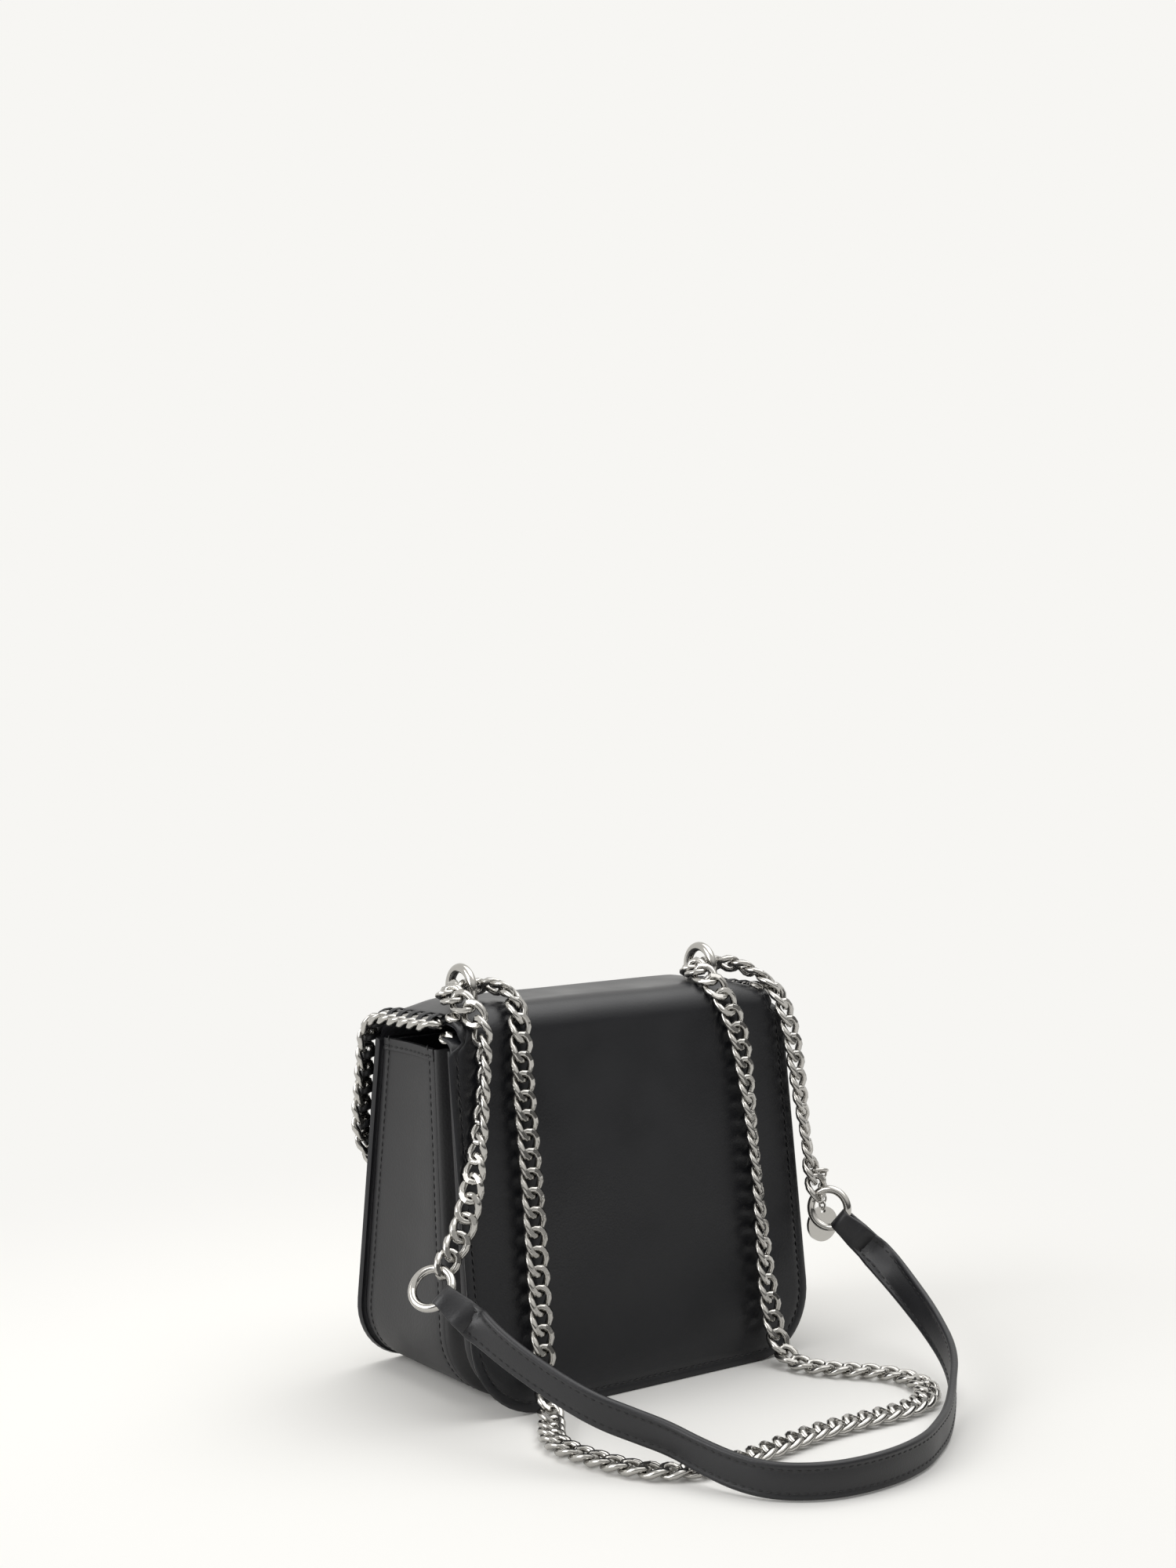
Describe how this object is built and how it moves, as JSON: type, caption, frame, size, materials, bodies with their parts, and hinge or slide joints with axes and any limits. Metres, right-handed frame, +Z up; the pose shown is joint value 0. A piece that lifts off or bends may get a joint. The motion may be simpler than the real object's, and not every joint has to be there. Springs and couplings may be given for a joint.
{
  "type": "shoulder bag",
  "caption": "Wedge-shaped black leather bag with a bellows rear pocket, a hinged flap edged in curb chain, a chain and strap run through metal arches, and a disc charm.",
  "frame": {"origin": "Middle of the base, on the floor that the bag stands on.", "axes": "+X across the bag, to the left in the picture; +Y from the flap's hanging front to the back panel; +Z up."},
  "size_m": [0.2285, 0.2493, 0.181],
  "materials": {
    "black_leather": "smooth calf, satin",
    "soft_leather": "soft fine grain",
    "lining": "woven lining",
    "board": "matt stiffener",
    "chain_metal": "polished, ground flat",
    "polished_metal": "polished",
    "plain_metal": "satin"
  },
  "bodies": {
    "bag": {"front_panel": "black_leather", "back_panel": "black_leather", "divider_panel": "soft_leather", "main_gusset": "black_leather", "gusset_lining": "lining", "front_lining": "lining", "divider_lining": "lining", "base_board": "board", "rear_gusset": "soft_leather", "back_lining": "lining", "snap_socket": "plain_metal", "left_hanging_chain": "chain_metal", "floor_chain": "chain_metal", "right_hanging_chain": "chain_metal", "left_ring": "polished_metal", "right_ring": "polished_metal", "left_strap_loop": "black_leather", "right_strap_loop": "black_leather", "shoulder_strap": "black_leather", "charm_jump_ring": "polished_metal", "charm_rings": "polished_metal"},
    "flap": {"flap_leather": "black_leather", "flap_lining": "lining", "left_arch": "polished_metal", "left_arch_plate": "plain_metal", "right_arch": "polished_metal", "right_arch_plate": "plain_metal", "arch_nuts": "plain_metal", "trim_rivets": "polished_metal", "snap_stud": "plain_metal", "trim_chain": "chain_metal"},
    "charm": {"charm_disc": "polished_metal"}
  },
  "joints": [
    {"name": "flap_hinge", "type": "hinge", "parent": "bag", "child": "flap", "pos_m": [0, 0.02867, 0.15205], "axis": [-1, 0, 0], "range_deg": [0, 105], "deforming": ["left_hanging_chain", "right_hanging_chain"]},
    {"name": "charm_swing", "type": "hinge", "parent": "bag", "child": "charm", "pos_m": [-0.10166, 0.04332, 0.05986], "axis": [0.1023, 0.9948, 0], "range_deg": [-25, 25]}
  ]
}
